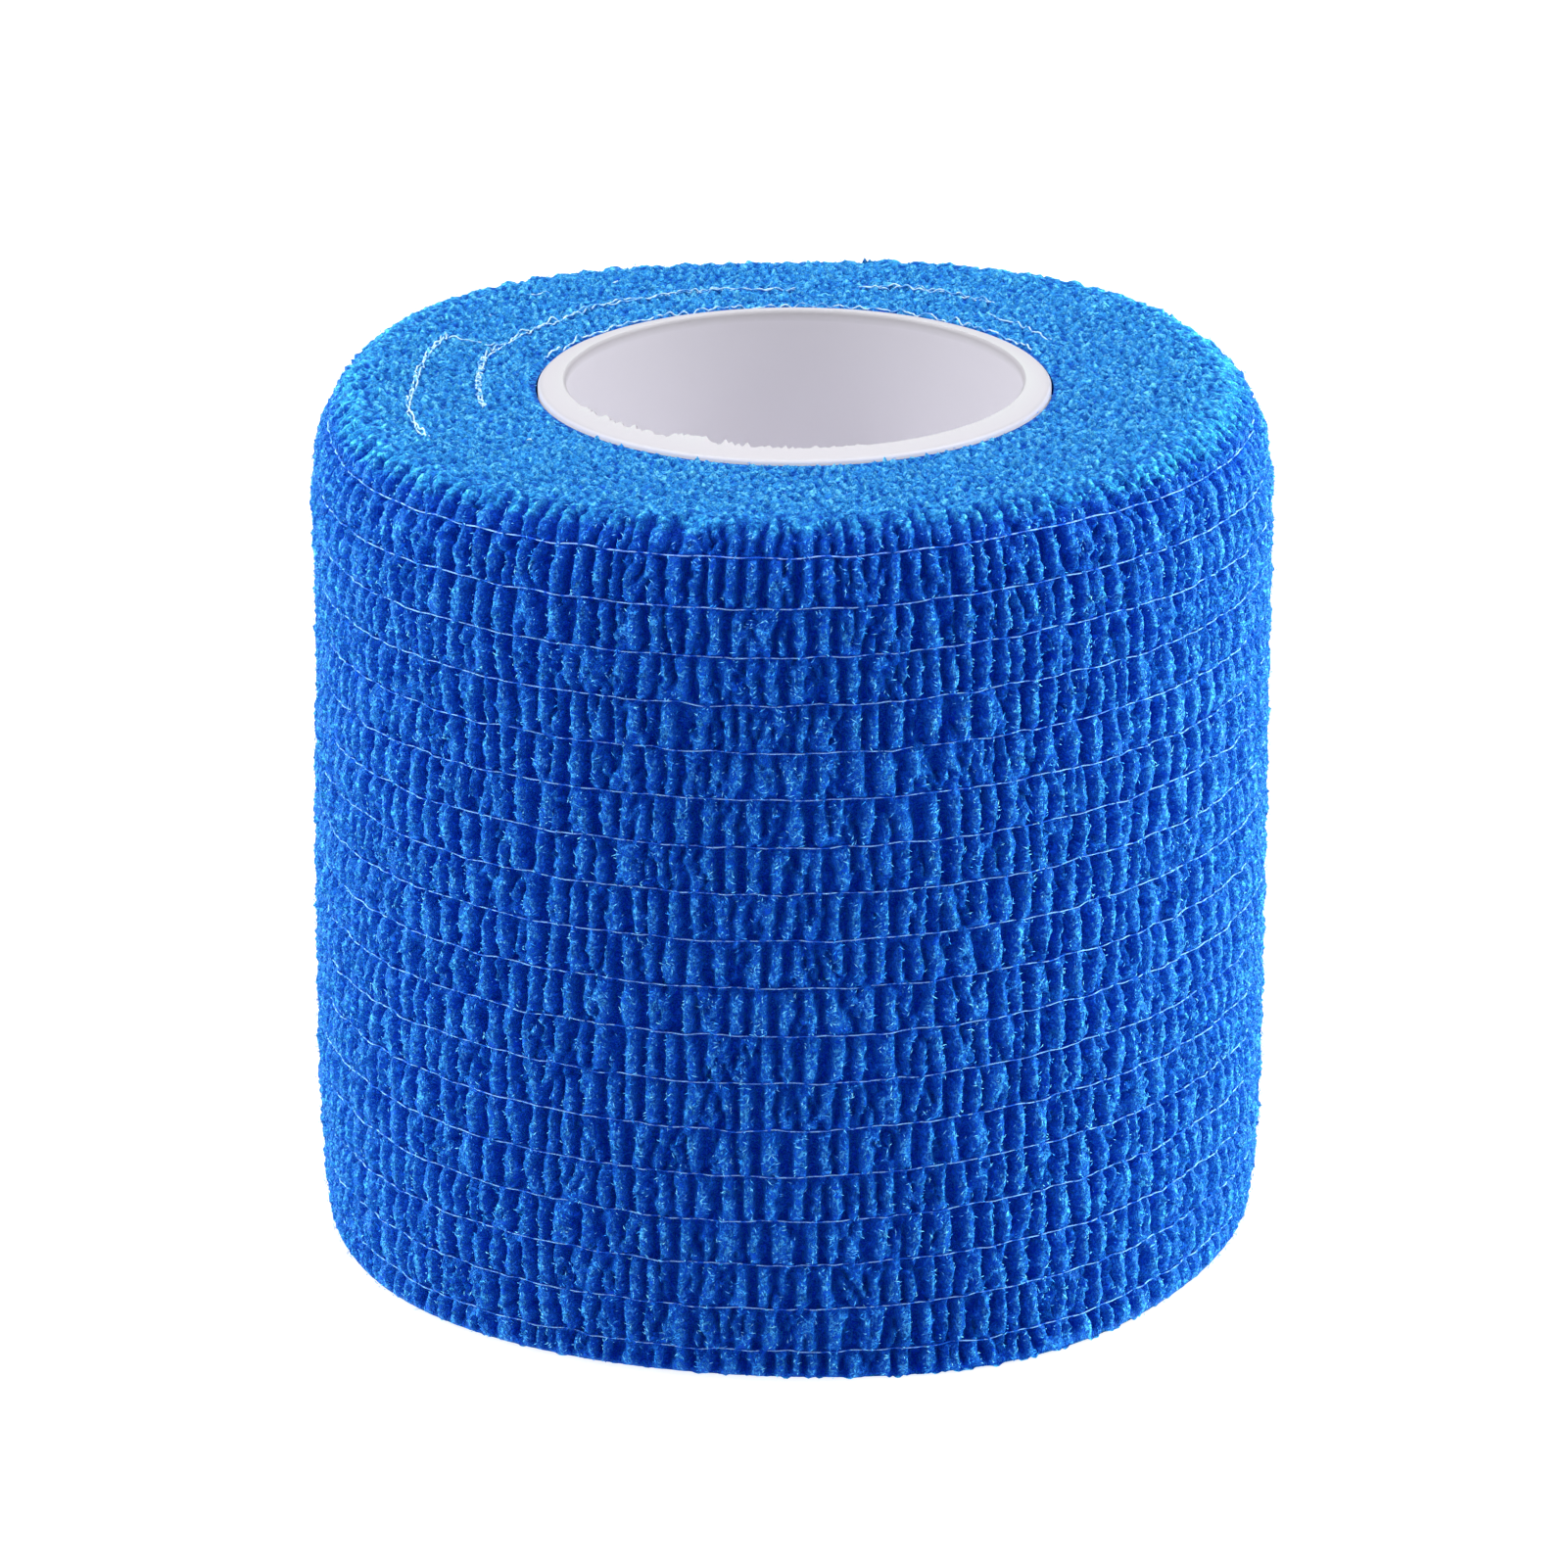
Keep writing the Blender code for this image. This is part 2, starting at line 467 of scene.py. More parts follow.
@dataclass
class PleatedCloth:
    """The wound strip's surface: both end faces and the pleated outer turn."""

    form: RollForm
    # Steps of the mesh
    columns: int = 880
    row_step: float = 0.196
    face_step: float = 0.112
    # Pleats between each two threads
    pleat_pitch: float = 1.32
    pleat_spread: float = 0.24
    pleat_depth: float = 0.85
    pleat_drift: float = 1.5
    pleat_restart: float = 4.2
    groove_level: float = -0.95
    crest_level: float = 0.6
    ragged_size: float = 0.8
    ragged_share: float = 0.44
    patch_size: float = 5.0
    patch_share: float = 0.08
    # The rib that they stand on, pinched in at each thread, with painted shade in the pinch
    rib_height: float = 0.32
    rib_fullness: float = 0.6
    rib_sink: float = 0.18
    pinch: float = 0.5
    pinch_shade: float = 0.5
    # Lumps of the cloth itself
    lump_size: float = 0.5
    lump_height: float = 0.07
    puff_size: float = 1.9
    puff_height: float = 0.07
    # Crinkle of the turns' cut edges, which make up both end faces, with painted shade in its pits
    # and a painted shadow line along the core
    crumb_size: float = 0.44
    crumb_height: float = 0.13
    crumb_sink: float = 0.14
    crumb_waves: int = 130
    crumb_shade: float = 0.58
    face_shade: float = 0.52
    turn_pitch: float = 0.8
    turn_shade: float = 0.1
    rim_calm: float = 0.6
    bore_edge: float = 0.06
    bore_sink: float = 0.05
    bore_shade: float = 8.0
    # Scallops where the pleats meet the upper end face
    scallop: float = 0.8
    edge_from: float = -0.15
    edge_to: float = 0.25
    # The strip's cut end, with distances past it around the roll, and a painted shadow line just
    # past it
    cut_wander: float = 0.3
    end_pressed: float = 0.75
    end_level: float = 0.8
    end_pressed_at: float = -1.1
    end_pressed_width: float = 0.9
    end_tuck: float = 0.3
    end_tuck_at: float = 0.3
    end_tuck_width: float = 0.25
    end_tuck_shade: float = 0.9
    seed: int = 41
    rows: list[Row] = field(default_factory=list)
    thread_rows: list[int] = field(default_factory=list)
    zone_starts: dict[Zone, int] = field(default_factory=dict)

    def __post_init__(self) -> None:
        """Lay out the rows and raise the relief on them."""
        self.random = np.random.default_rng(self.seed)
        self.angles = np.arange(self.columns) * tau / self.columns
        self.lay_out_rows()
        self.raise_relief()

    def lay_out_rows(self) -> None:
        """List the rows from the core over the upper end, down the side and back."""
        form = self.form
        face_rows = round(form.face_reach() / self.face_step)
        self.zone_starts[Zone.UPPER_FACE] = 0
        for step in range(face_rows):
            self.rows.append(Row(step / face_rows, form.width, 0, 0.0, self.face_step))
        marks = [form.width, *form.thread_heights()[::-1], 0.0]
        fine = np.linspace(0.0, 1.0, 200)
        for band, (high, low) in enumerate(zip(marks, marks[1:])):
            heights = high + (low - high) * fine
            if band == 0:
                heights = high + (low - high) * fine**2
            inset = form.draw_in(heights, form.base_draw_in)
            run = np.concatenate([[0.0], np.cumsum(np.hypot(np.diff(heights), np.diff(inset)))])
            count = max(2, round(run[-1] / self.row_step))
            for step in range(count):
                across = step / count
                height = float(np.interp(across * run[-1], run, heights))
                self.rows.append(Row(1.0, height, band, across, self.row_step))
            self.thread_rows.append(len(self.rows))
        self.thread_rows.pop()
        self.zone_starts[Zone.UPPER] = self.thread_rows[0]
        self.zone_starts[Zone.MIDDLE] = self.thread_rows[6]
        self.zone_starts[Zone.LOWER] = self.thread_rows[12]
        self.zone_starts[Zone.LOWER_FACE] = len(self.rows)
        lower_rows = face_rows // 5
        for step in range(lower_rows + 1):
            share = 1.0 - step / lower_rows
            self.rows.append(Row(share, 0.0, form.thread_count + 1, 1.0, 0.0))

    def filtered_noise(
        self,
        rows: int,
        row_step: float,
        pitch: float,
        spread: float,
        upright: float,
    ) -> np.ndarray:
        """Make soft noise that repeats around the roll, with one main pitch.

        Args:
            rows: Rows of noise.
            row_step: Distance between its rows.
            pitch: Main pitch around the roll, in millimetres.
            spread: How widely the pitch varies, in waves for each millimetre.
            upright: How long a wave stays alike from row to row, in row_step's unit.

        Returns:
            Noise with a mean of 0 and a spread of 1.
        """
        column_step = tau * self.form.radius / self.columns
        white = self.random.standard_normal((rows, self.columns))
        around = np.fft.rfftfreq(self.columns, column_step)[None, :]
        along = np.fft.fftfreq(rows, row_step)[:, None]
        keep = np.exp(-0.5 * ((around - 1.0 / pitch) / spread) ** 2)
        keep = keep * np.exp(-0.5 * (along * tau * upright) ** 2)
        noise = np.fft.irfft2(np.fft.rfft2(white) * keep, s=white.shape)
        return noise / noise.std()

    def pleat_wave(self) -> np.ndarray:
        """Return the pleats on every row, from 0 in a groove to 1 on a crest.

        Each band between two threads has pleats of its own, which only drift a little
        across it, so the pleats start afresh at each thread. They are pressed down just
        before the strip's cut end.
        """
        per_unit = 5
        rows = int((self.form.thread_count + 3) * self.pleat_restart * per_unit)
        noise = self.filtered_noise(rows, 1.0 / per_unit, self.pleat_pitch, self.pleat_spread, 1.0)
        starts = np.array([row.band for row in self.rows]) * self.pleat_restart
        place = (starts + np.array([row.across for row in self.rows]) * self.pleat_drift) * per_unit
        below = np.floor(place).astype(int)
        rest = (place - below)[:, None]
        wave = noise[below] * (1.0 - rest) + noise[below + 1] * rest
        ragged = self.filtered_noise(len(self.rows), self.row_step, self.ragged_size, 0.4, 0.22)
        wave = (wave + self.ragged_share * ragged) / (1.0 + self.ragged_share**2) ** 0.5
        patches = self.filtered_noise(len(self.rows), self.row_step, self.patch_size, 0.08, 0.5)
        wave = wave + self.patch_share * patches
        wave = smooth_step(self.groove_level, self.crest_level, wave)
        for row in self.thread_rows:
            wave[row] = (wave[row - 1] + wave[row + 1]) / 2.0
        past_pressed = (self.past_cut - self.end_pressed_at) / self.end_pressed_width
        return wave + (self.end_level - wave) * self.end_pressed * np.exp(-(past_pressed**2))

    def choose_crumbs(self) -> None:
        """Choose the waves that make up the crinkle of the turns' cut edges."""
        heading = self.random.standard_normal((self.crumb_waves, 3))
        heading /= np.linalg.norm(heading, axis=1, keepdims=True)
        wave = tau / self.crumb_size * self.random.normal(1.0, 0.2, self.crumb_waves)
        self.crumb_wave = heading * wave[:, None]
        self.crumb_start = self.random.uniform(0.0, tau, self.crumb_waves)

    def crumbs(self, points: np.ndarray) -> np.ndarray:
        """Return the fine crinkle of the turns' cut edges at points of an end face.

        Args:
            points: Points in millimetres.

        Returns:
            The crinkle at each point, with a spread of about 1.
        """
        total = np.zeros(points.shape[:-1])
        for wave, start in zip(self.crumb_wave, self.crumb_start):
            total += np.cos(points @ wave + start)
        return total * (2.0 / self.crumb_waves) ** 0.5

    def column_of(self, values: list[float]) -> np.ndarray:
        """Return one value for each row as an upright column."""
        return np.array(values)[:, None]

    def base_form(self) -> tuple[np.ndarray, np.ndarray]:
        """Return every point of the smooth form, and the way out of it there."""
        form = self.form
        share = self.share
        height = self.column_of([row.height for row in self.rows])
        wander = self.filtered_noise(len(self.rows), self.row_step, 40.0, 0.01, 0.35)[:, :1]
        around = self.angles[None, :]
        self.past_cut = form.past_cut(around, wander * self.cut_wander)
        outer = form.section(around) - form.draw_in(height, form.base_inset(around))
        outer = outer - form.dented(height, around)
        under = form.under_turn(self.past_cut) * smooth_step(0.9, 1.0, share)
        unit = np.stack([np.cos(around), np.sin(around)], axis=-1)
        rim = form.axis() + outer[..., None] * unit
        bore = form.core_centre() + (form.core_radius + form.bore_gap) * unit
        flat = bore + (rim - bore) * share[..., None] - under[..., None] * unit
        base = np.dstack([flat, height + form.thread_drift(height, around)])
        down = np.gradient(base, axis=0)
        sideways = (np.roll(base, -1, axis=1) - np.roll(base, 1, axis=1)) / 2.0
        normal = np.cross(down, sideways)
        return base, normal / (np.linalg.norm(normal, axis=-1, keepdims=True) + 1e-12)

    def side_share(self, crest: np.ndarray) -> np.ndarray:
        """Return 1 on the pleated side and 0 on the ends, with scallops between them."""
        form = self.form
        from_rim = (1.0 - self.share) * form.face_reach()
        below_edge = form.outer_edge(self.angles)[None, :] - self.base[..., 2] - from_rim
        below_edge = below_edge + self.scallop * (0.5 - crest)
        side = smooth_step(self.edge_from, self.edge_to, below_edge)
        return side * (self.band <= form.thread_count)

    def pleats(self, crest: np.ndarray) -> tuple[np.ndarray, np.ndarray]:
        """Work out the pleated side's relief and shade.

        Args:
            crest: The pleats, from 0 in a groove to 1 on a crest.

        Returns:
            How far the cloth stands up, in millimetres, and its painted shade, from 0, dark in a
            groove or pinch, to 1.
        """
        rib = np.sin(pi * np.minimum(self.across, 0.999)) ** self.rib_fullness
        rib = np.where(self.band == 0, np.maximum(rib, 1.0 - self.across), rib)
        at_base = (self.band == self.form.thread_count) * smooth_step(0.35, 0.95, self.across)
        depth = self.pleat_depth * (self.pinch + (1.0 - self.pinch) * rib) * (1.0 - at_base)
        past_tuck = (self.past_cut - self.end_tuck_at) / self.end_tuck_width
        tucked = np.exp(-(past_tuck**2)) * (self.share == 1.0)
        lumps = self.filtered_noise(len(self.rows), self.row_step, self.lump_size, 0.5, 0.1)
        relief = self.rib_height * rib - self.rib_sink - depth * (1.0 - crest)
        relief = relief + self.lump_height * lumps * (1.0 - at_base) * crest
        relief = relief - self.end_tuck * tucked
        # Painted shade: darker down in each groove and in the pinch at each thread
        shade = crest * (1.0 - self.pinch_shade * (1.0 - rib))
        # Painted shadow line just past the strip's cut end
        shade = shade * (1.0 - self.end_tuck_shade * tucked)
        return relief, shade

    def crinkle(self) -> tuple[np.ndarray, np.ndarray]:
        """Return the end faces' relief and painted shade, darker in the crinkle's pits, as pleats
        does for the side.
        """
        crumbs = self.crumbs(self.base)
        reach = np.linalg.norm(self.base[..., :2] - self.form.axis(), axis=-1)
        turns = np.cos(tau * reach / self.turn_pitch - self.angles[None, :])
        puffs = self.filtered_noise(len(self.rows), self.face_step, self.puff_size, 0.2, 0.3)
        off_bore = smooth_step(0.0, self.bore_edge, self.share)
        sink = self.bore_sink * (1.0 - off_bore)
        fade = off_bore - self.rim_calm * smooth_step(0.85, 1.0, self.share)
        relief = self.crumb_height * crumbs * fade - self.crumb_sink - sink
        relief = relief + self.puff_height * puffs * smooth_step(0.7, 1.0, self.share)
        # Painted shade: darker in the crinkle's pits and paler on its grains, with faint bands
        # along the turns
        shade = self.face_shade + self.crumb_shade * crumbs + self.turn_shade * turns
        # Painted shadow line along the core
        shade = shade - self.bore_shade * sink
        return relief, shade

    def raise_relief(self) -> None:
        """Work out every point of the cloth, and how far it stands up."""
        self.choose_crumbs()
        self.share = self.column_of([row.share for row in self.rows])
        self.across = self.column_of([row.across for row in self.rows])
        self.band = self.column_of([row.band for row in self.rows])
        self.base, self.normal = self.base_form()
        crest = self.pleat_wave()
        side = self.side_share(crest)
        pleated, pleat_shade = self.pleats(crest)
        crinkled, crinkle_shade = self.crinkle()
        self.relief = pleated * side + crinkled * (1.0 - side)
        # The shade is painted shade, carried to the material as the "relief" mark
        self.shade = np.clip(crinkle_shade * (1.0 - side) + pleat_shade * side, 0.0, 1.2)
        self.cut = 1.0 - side
        self.points = self.base + self.normal * self.relief[..., None]
        self.points[..., 2] = np.maximum(self.points[..., 2], 0.0)

    def build(self, finish: "CrinkledNonwoven") -> list[bpy.types.Object]:
        """Build the cloth as pieces that meet on a thread line.

        Args:
            finish: The cloth's finish.

        Returns:
            The pieces, from the upper end to the base.
        """
        starts = list(self.zone_starts.values())
        ends = [start + 1 for start in starts[1:]] + [len(self.rows)]
        material = finish.material()
        pieces = []
        for zone, start, end in zip(self.zone_starts, starts, ends):
            points = self.points[start:end].reshape(-1, 3)
            faces = ring_faces(end - start, self.columns)[:, ::-1]
            # The "relief" mark holds the painted shade, not the height
            marks = {"relief": self.shade[start:end], "cut": self.cut[start:end]}
            piece = add_mesh(zone.value, points, faces, marks)
            piece.data.materials.append(material)
            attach(piece, ROOT)
            pieces.append(piece)
            log.info("%s: %d faces", zone.value, len(faces))
        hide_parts("wound_tape")
        return pieces


@dataclass
class ElasticThreads:
    """The elastic threads that pinch the outer turn."""

    cloth: PleatedCloth
    radius: float = 0.05
    sides: int = 3
    reach: int = 3
    sink: float = 0.08
    sway: float = 0.04
    sway_waves: int = 60
    bob: float = 0.04
    bob_waves: int = 160
    seed: int = 7

    def build(self, finish: "PatchyFibre") -> bpy.types.Object:
        """Build all the threads as one piece.

        Args:
            finish: The yarn's finish.

        Returns:
            The piece.
        """
        cloth = self.cloth
        random = np.random.default_rng(self.seed)
        parts = []
        for row in cloth.thread_rows:
            heights = cloth.relief[row - 1 : row + 2].mean(axis=0)
            crest = heights.copy()
            for step in range(-self.reach, self.reach + 1):
                crest = np.maximum(crest, np.roll(heights, step))
            window = np.ones(2 * self.reach + 1) / (2 * self.reach + 1)
            padded = np.concatenate([crest[-self.reach :], crest, crest[: self.reach]])
            crest = np.convolve(padded, window, mode="valid")
            sway = ring_noise(random, cloth.columns, self.sway_waves) * self.sway
            bob = ring_noise(random, cloth.columns, self.bob_waves) * self.bob
            lift = crest - self.sink + bob
            path = cloth.base[row] + cloth.normal[row] * lift[:, None]
            path[:, 2] += sway
            parts.append(tube_mesh(path, self.radius, self.sides, closed=True))
        points, faces = join_parts(parts)
        piece = add_mesh("elastic_threads", points, faces)
        piece.data.materials.append(finish.material())
        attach(piece, ROOT)
        log.info("elastic_threads: %d faces", len(faces))
        return piece


@dataclass(frozen=True)
class YarnRoute:
    """A stretch of loose yarn on the upper end, where a turn's edge lets it out.

    Args:
        places: Angle in degrees and distance from the roll's axis, one for each bend.
        strands: How many strands run side by side.
    """

    places: tuple[tuple[float, float], ...]
    strands: int = 1


@dataclass
class StrayYarn:
    """Elastic yarn that shows on the upper end, along the turns of the strip."""

    cloth: PleatedCloth
    radius: float = 0.052
    sides: int = 5
    spacing: float = 0.1
    strand_gap: float = 0.14
    wobble: float = 0.04
    lift: float = 0.15
    seed: int = 19
    twist_pitch: float = 6.0
    zigzag_pitch: float = 0.55
    routes: tuple[YarnRoute, ...] = (
        # The pulled turn at the left, and the bit that bridges to the next
        YarnRoute(
            (
                (156, 21.6), (161, 21.3), (172, 21.1), (184, 21.2),
                (191, 21.8), (199, 22.3), (209, 22.9),
            ),
            strands=2,
        ),
        YarnRoute(((158, 21.3), (158.4, 19.4), (159, 17.6))),
        # The turn inside it, which frays at the left and runs on around the back
        YarnRoute(((198, 17.9), (186, 17.6), (174, 17.6), (165, 18.0)), strands=3),
        YarnRoute(
            (
                (168, 17.9), (151, 17.65), (140, 17.5), (128, 18.0),
                (113, 18.0), (104, 18.05), (88, 17.5),
            ),
            strands=2,
        ),
        YarnRoute(((77, 18.4), (69, 19.3), (61, 19.4), (51, 19.3)), strands=2),
        YarnRoute(((47, 17.1), (38, 17.0), (32, 17.1), (26, 16.9))),
        # The first turn, along the core
        YarnRoute(((165, 14.5), (140, 14.3), (110, 14.25), (80, 14.45), (50, 14.8), (22, 15.2))),
        # Single short bits
        YarnRoute(((133, 22.5), (131, 22.3), (129, 22.2))),
        YarnRoute(((145, 21.1), (143.6, 21.4))),
        YarnRoute(((219.5, 18.3), (218.4, 18.6))),
        YarnRoute(((118.6, 21.5), (117.4, 21.8))),
    )

    def strand(self, route: YarnRoute, number: int, random: np.random.Generator) -> np.ndarray:
        """Work out one strand's path over the crinkled end.

        Args:
            route: The route that it follows.
            number: Which of the route's strands it is.
            random: The source of the draws.

        Returns:
            Points along the strand, in millimetres.
        """
        places = np.array(route.places)
        marks = np.arange(len(places))
        around = np.radians(np.diff(places[:, 0])) * places[1:, 1]
        length = np.hypot(around, np.diff(places[:, 1])).sum()
        count = max(6, round(length / self.spacing))
        step = np.linspace(0.0, marks[-1], count)
        angle = np.radians(np.interp(step, marks, places[:, 0]))
        distance = np.interp(step, marks, places[:, 1])
        softened = np.convolve(np.pad(distance, 5, mode="edge"), np.ones(11) / 11.0, mode="valid")
        wobble = np.convolve(random.standard_normal(count + 4), np.ones(5) / 5.0**0.5, mode="valid")
        run = step / marks[-1] * length
        twist = np.sin(run * tau / self.twist_pitch + number * tau / route.strands)
        if number == 2:
            # A third strand zigzags, as yarn does that has sprung back
            twist = np.sin(run * tau / self.zigzag_pitch)
        apart = self.strand_gap * twist if route.strands > 1 else 0.0
        distance = softened + apart + wobble * self.wobble
        flat = distance[:, None] * np.column_stack([np.cos(angle), np.sin(angle)])
        level = np.full(count, self.cloth.form.width)
        path = np.column_stack([self.cloth.form.axis() + flat, level])
        ground = self.cloth.crumb_height * self.cloth.crumbs(path) - self.cloth.crumb_sink
        ground = np.convolve(np.pad(ground, 2, mode="edge"), np.ones(5) / 5.0, mode="valid")
        path[:, 2] += ground + self.lift
        return path

    def build(self, finish: "PatchyFibre") -> bpy.types.Object:
        """Build all the loose yarn as one piece.

        Args:
            finish: The yarn's finish.

        Returns:
            The piece.
        """
        random = np.random.default_rng(self.seed)
        parts = []
        for route in self.routes:
            for number in range(route.strands):
                path = self.strand(route, number, random)
                parts.append(tube_mesh(path, self.radius, self.sides, closed=False))
        points, faces = join_parts(parts)
        piece = add_mesh("stray_yarn", points, faces)
        piece.data.materials.append(finish.material())
        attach(piece, ROOT)
        log.info("stray_yarn: %d faces", len(faces))
        return piece


@dataclass
class LooseFibres:
    """Short ends of polyester fibre that stand off the cloth's crests."""

    cloth: PleatedCloth
    count: int = 34000
    radius: float = 0.03
    shortest: float = 0.14
    longest: float = 0.45
    rise: float = 0.18
    tilt: float = 0.25
    face_thinning: float = 0.7
    floor_gap: float = 0.05
    crest: float = 0.35
    seed: int = 5

    def build(self, finish: "PatchyFibre") -> bpy.types.Object:
        """Build all the fibres as one piece.

        Args:
            finish: The fibre's finish.

        Returns:
            The piece.
        """
        cloth = self.cloth
        random = np.random.default_rng(self.seed)
        reach = np.linalg.norm(cloth.base[:, 0, :2], axis=1)
        step = np.array([row.length for row in cloth.rows])
        area = reach * step * (1.0 - self.face_thinning * cloth.cut.mean(axis=1))
        rows = random.choice(len(cloth.rows), self.count * 3, p=area / area.sum())
        columns = random.integers(0, cloth.columns, self.count * 3)
        crest = cloth.shade[rows, columns] > self.crest * (1.0 - 0.5 * cloth.cut[rows, columns])
        keep = np.flatnonzero(crest)[: self.count]
        rows = rows[keep]
        columns = columns[keep]
        normal = cloth.normal[rows, columns]
        beside = cloth.base[rows, (columns + 1) % cloth.columns] - cloth.base[rows, columns]
        beside /= np.linalg.norm(beside, axis=1, keepdims=True)
        turn = random.uniform(0.0, tau, len(keep))[:, None]
        along = beside * np.cos(turn) + np.cross(normal, beside) * np.sin(turn)
        along = along + normal * random.normal(0.0, self.tilt, len(keep))[:, None]
        across = np.cross(normal, along)
        length = random.uniform(self.shortest, self.longest, len(keep))[:, None]
        rise = random.uniform(0.0, 1.0, len(keep))[:, None] * self.rise
        middle = cloth.points[rows, columns] + normal * rise
        lower = middle - normal * self.radius
        parts = [lower - along * length / 2.0, lower + along * length / 2.0]
        parts += [middle - across * self.radius, middle + across * self.radius]
        points = np.stack(parts, axis=1)
        corners = [[0, 3, 2], [1, 2, 3], [0, 1, 3], [1, 0, 2]]
        points = points[points[:, :, 2].min(axis=1) > self.floor_gap]
        faces = (np.arange(len(points)) * 4)[:, None, None] + np.array(corners)[None]
        piece = add_mesh("loose_fibres", points.reshape(-1, 3), faces.reshape(-1, 3))
        piece.data.materials.append(finish.material())
        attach(piece, ROOT)
        log.info("loose_fibres: %d fibres", len(points))
        return piece


@dataclass
class CoreTube:
    """The plastic tube that the strip is wound on, with the burr that its saw left."""

    form: RollForm
    columns: int = 640
    wall: float = 1.6
    proud: float = 0.08
    rim_rise: float = 0.25
    round_over: float = 0.16
    burr_from: float = 200.0
    burr_to: float = 292.0
    burr_fade: float = 14.0
    burr_peak: float = 244.0
    burr_peak_width: float = 4.0
    coarse_waves: int = 90
    fine_waves: int = 250
    burr_height: float = 0.17
    burr_reach: float = 0.22
    seed: int = 3

    def burr(self, turn: np.ndarray) -> np.ndarray:
        """Return how ragged the inner edge is at each angle, from 0 up.

        Args:
            turn: Angles in radians.

        Returns:
            The burr at each angle, about 1 where it is fullest.
        """
        random = np.random.default_rng(self.seed)
        degrees = np.degrees(turn)
        reach = smooth_step(self.burr_from, self.burr_from + self.burr_fade, degrees)
        reach = reach * (1.0 - smooth_step(self.burr_to - self.burr_fade, self.burr_to, degrees))
        peak = np.exp(-(((degrees - self.burr_peak) / self.burr_peak_width) ** 2))
        coarse = ring_noise(random, self.columns, self.coarse_waves)
        fine = ring_noise(random, self.columns, self.fine_waves)
        ragged = np.clip(0.25 + 0.35 * coarse + 0.3 * fine, 0.0, None)
        return reach * (ragged + 1.3 * peak)

    def build(self, finish: "ExtrudedPlastic") -> bpy.types.Object:
        """Build the tube.

        Args:
            finish: The plastic's finish.

        Returns:
            The piece.
        """
        form = self.form
        top = form.width + self.proud
        outer = form.core_radius
        inner = outer - self.wall
        edge = top + self.rim_rise
        profile = [(outer, 0.0, 0.0), (outer, top - self.round_over, 0.0)]
        steps = 6
        for step in range(steps + 1):
            share = step / steps
            flat = outer - self.round_over - (self.wall - 2.0 * self.round_over) * share
            profile.append((flat, top + self.rim_rise * share, share**4))
        profile.append((inner, edge - self.round_over, 1.0))
        profile.append((inner, edge - 4.0 * self.round_over, 0.35))
        for height in np.linspace(form.width - 1.0, 0.0, 12):
            profile.append((inner, float(height), 0.0))
        profile.append((outer, 0.0, 0.0))
        turn = np.arange(self.columns) * tau / self.columns
        centre = form.core_centre()
        burr = self.burr(turn)
        rings = []
        sawn = []
        for radius, height, share in profile:
            distance = radius - self.burr_reach * burr * share
            ring = [
                centre[0] + distance * np.cos(turn),
                centre[1] + distance * np.sin(turn),
                height + self.burr_height * burr * share,
            ]
            rings.append(np.column_stack(ring))
            sawn.append(np.full(self.columns, height > top - self.round_over / 2.0))
        faces = ring_faces(len(profile), self.columns)
        piece = add_mesh("core_tube_cut", np.vstack(rings), faces, {"sawn": np.vstack(sawn)})
        piece.data.set_sharp_from_angle(angle=radians(50.0))
        piece.data.materials.append(finish.material())
        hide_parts("core_tube")
        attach(piece, ROOT)
        log.info("core_tube_cut: %d faces", len(faces))
        return piece


